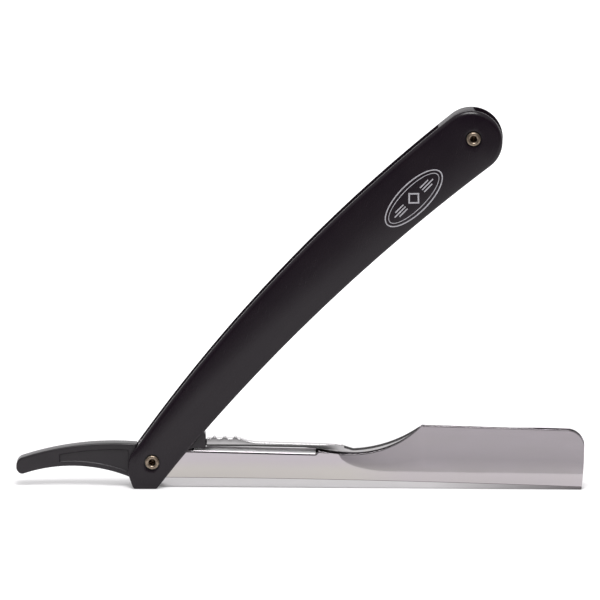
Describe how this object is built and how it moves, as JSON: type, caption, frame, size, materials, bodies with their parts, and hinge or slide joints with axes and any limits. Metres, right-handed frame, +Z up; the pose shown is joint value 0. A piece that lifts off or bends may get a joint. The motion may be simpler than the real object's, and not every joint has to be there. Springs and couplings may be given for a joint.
{
  "type": "straight razor",
  "caption": "Folding barber's straight razor with a curved two-scale handle, a folded steel arm with a slim blade head, and a lever-operated clamp for a replaceable half blade.",
  "frame": {"origin": "on the surface the razor stands on, under the middle of its bounding box", "axes": "+X along the arm towards the nose, +Y through the thickness towards the rear scale, +Z up, from the spine towards the cutting side"},
  "size_m": [0.1572, 0.0094, 0.1071],
  "materials": {
    "handle_black": "black moulded plastic, semi-gloss",
    "tang_black": "black moulded plastic, satin",
    "brass": "dull rolled brass",
    "arm_steel": "polished stainless sheet",
    "leaf_steel": "polished stainless sheet",
    "pin_steel": "plain steel pin"
  },
  "bodies": {
    "handle": {"front_scale": "handle_black", "rear_scale": "handle_black", "end_spacer": "handle_black", "pivot_rivet": "brass", "pivot_washer": "brass", "end_rivet": "brass", "end_washer": "brass"},
    "arm": {"arm_shell": "arm_steel", "tang_tail": "tang_black", "tang_pin": "pin_steel", "hinge_pin": "pin_steel"},
    "clamp": {"clamp_leaf": "leaf_steel"}
  },
  "joints": [
    {"name": "fold", "type": "hinge", "parent": "handle", "child": "arm", "pos_m": [-0.04087, 0, 0.0076], "axis": [0, -1, 0], "range_deg": [-225, 45]},
    {"name": "clamp_open", "type": "hinge", "parent": "arm", "child": "clamp", "pos_m": [0.07633, 0, 0.0024], "axis": [0, 1, 0], "range_deg": [0, 25]}
  ]
}
